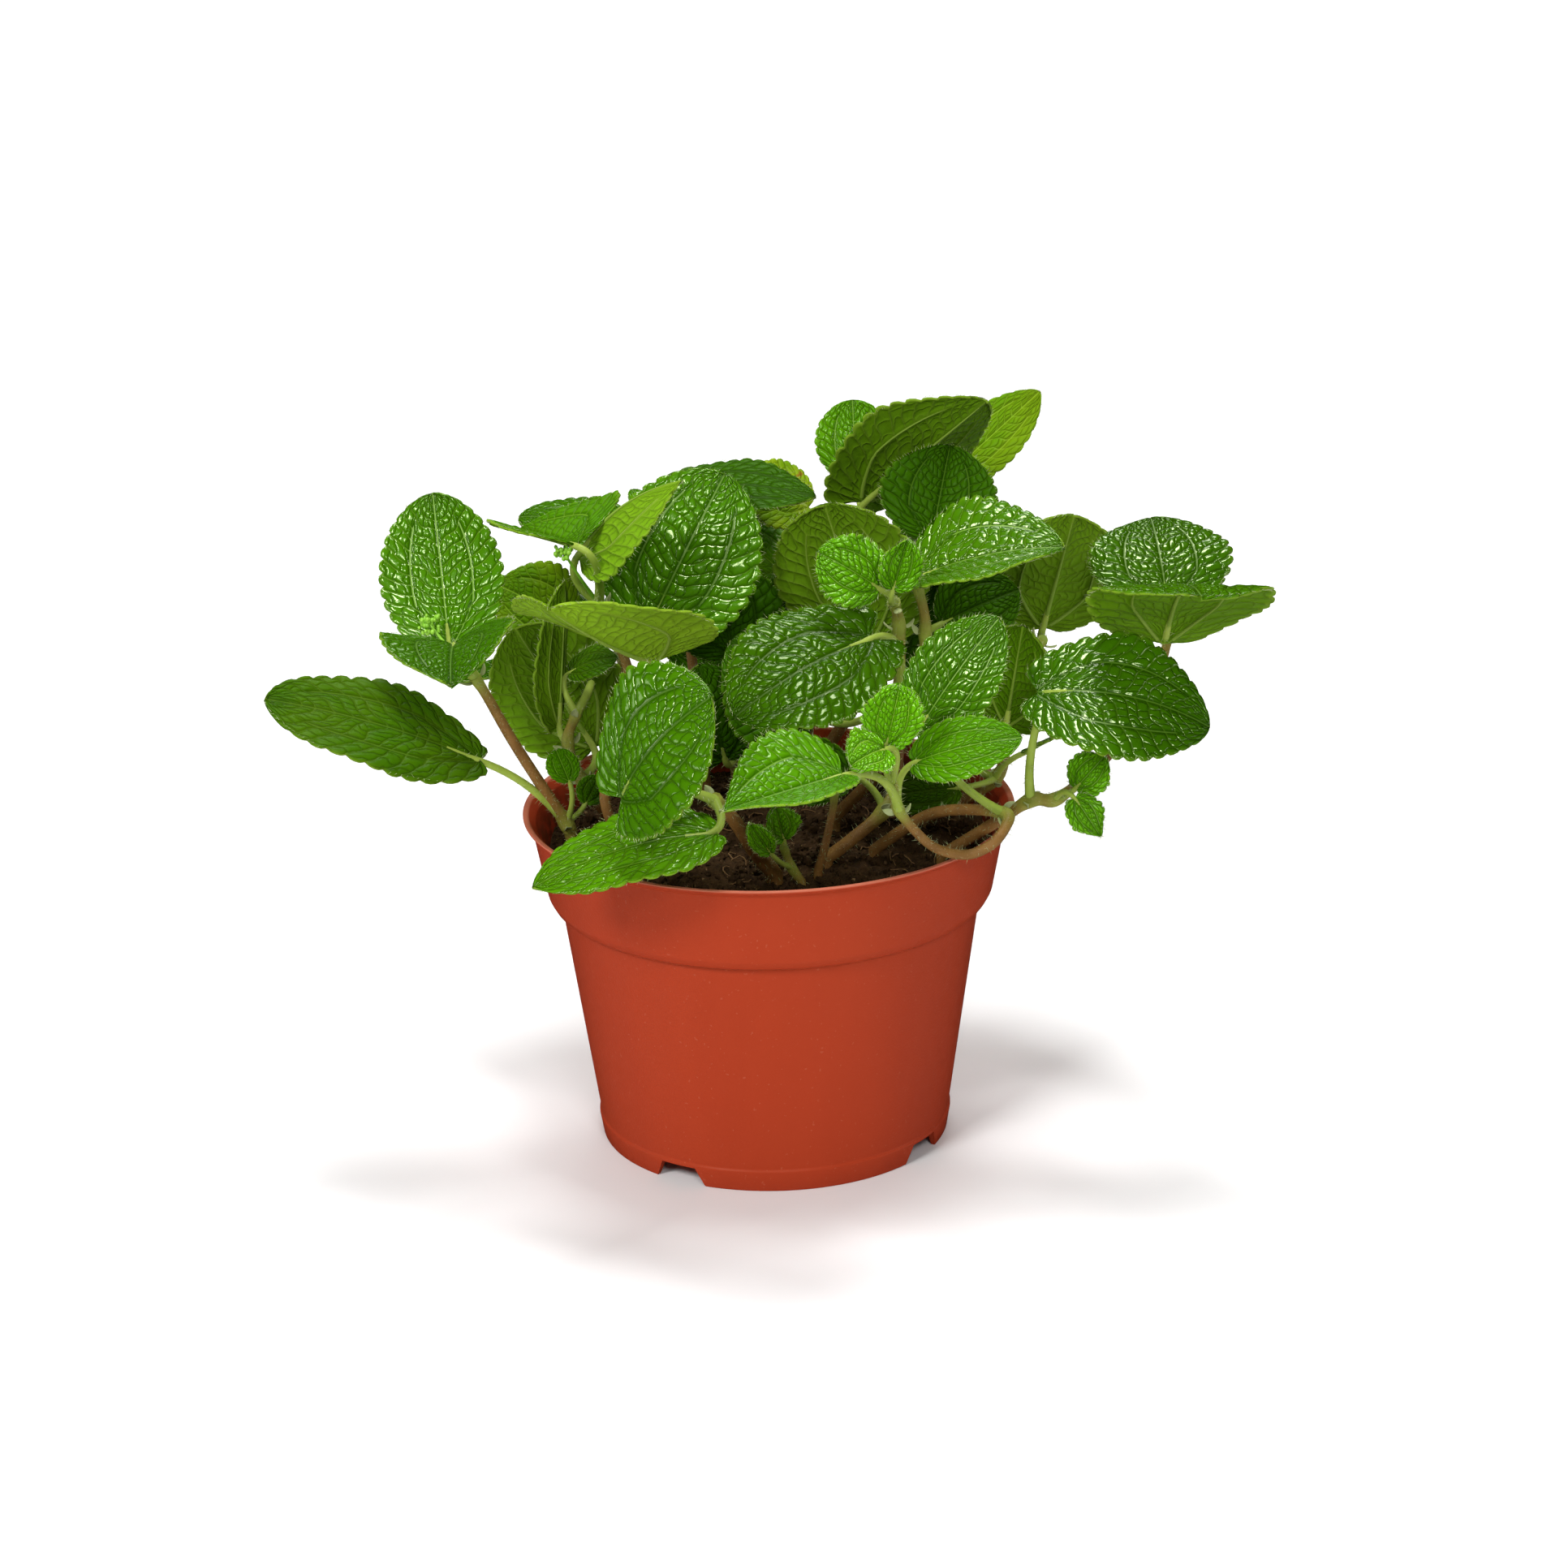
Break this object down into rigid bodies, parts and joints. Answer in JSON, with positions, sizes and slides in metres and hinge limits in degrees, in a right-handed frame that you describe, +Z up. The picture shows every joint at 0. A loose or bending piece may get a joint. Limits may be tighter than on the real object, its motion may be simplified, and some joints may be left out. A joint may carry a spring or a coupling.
{
  "type": "potted creeping charlie plant",
  "caption": "Small creeping charlie house plant with crinkled, scalloped leaves on thin leafy stems, growing in a round thin-walled terracotta-coloured nursery pot filled with soil",
  "frame": {"origin": "centre of the pot's foot, on the plane that the pot stands on, which is also the middle of the whole plant's outline to within the check's tolerance", "axes": "+Z up the pot's axis, +X to the right and +Y away from the viewer of the picture"},
  "size_m": [0.2059, 0.1572, 0.1559],
  "materials": {
    "pot_plastic": "satin terracotta-coloured plastic, thin-walled and moulded",
    "soil": "damp dark potting compost of peat and bark crumbs",
    "foliage": "living leaves: glossy crinkled green above, matt olive green below, on brown to yellow-green stems"
  },
  "bodies": {
    "root": {"pot": "pot_plastic", "soil": "soil", "shoot_left": "foliage", "shoot_tall_left": "foliage", "shoot_inner_left": "foliage", "shoot_behind_left": "foliage", "shoot_front": "foliage", "shoot_young_front": "foliage", "shoot_thin_front": "foliage", "shoot_centre": "foliage", "shoot_rim": "foliage", "shoot_right": "foliage", "shoot_shade_right": "foliage", "shoot_upper": "foliage", "shoot_back_top": "foliage", "shoot_far_right": "foliage", "shoot_far_left": "foliage", "shoot_back_1": "foliage", "shoot_back_2": "foliage", "shoot_back_3": "foliage", "shoot_back_4": "foliage"}
  },
  "joints": []
}
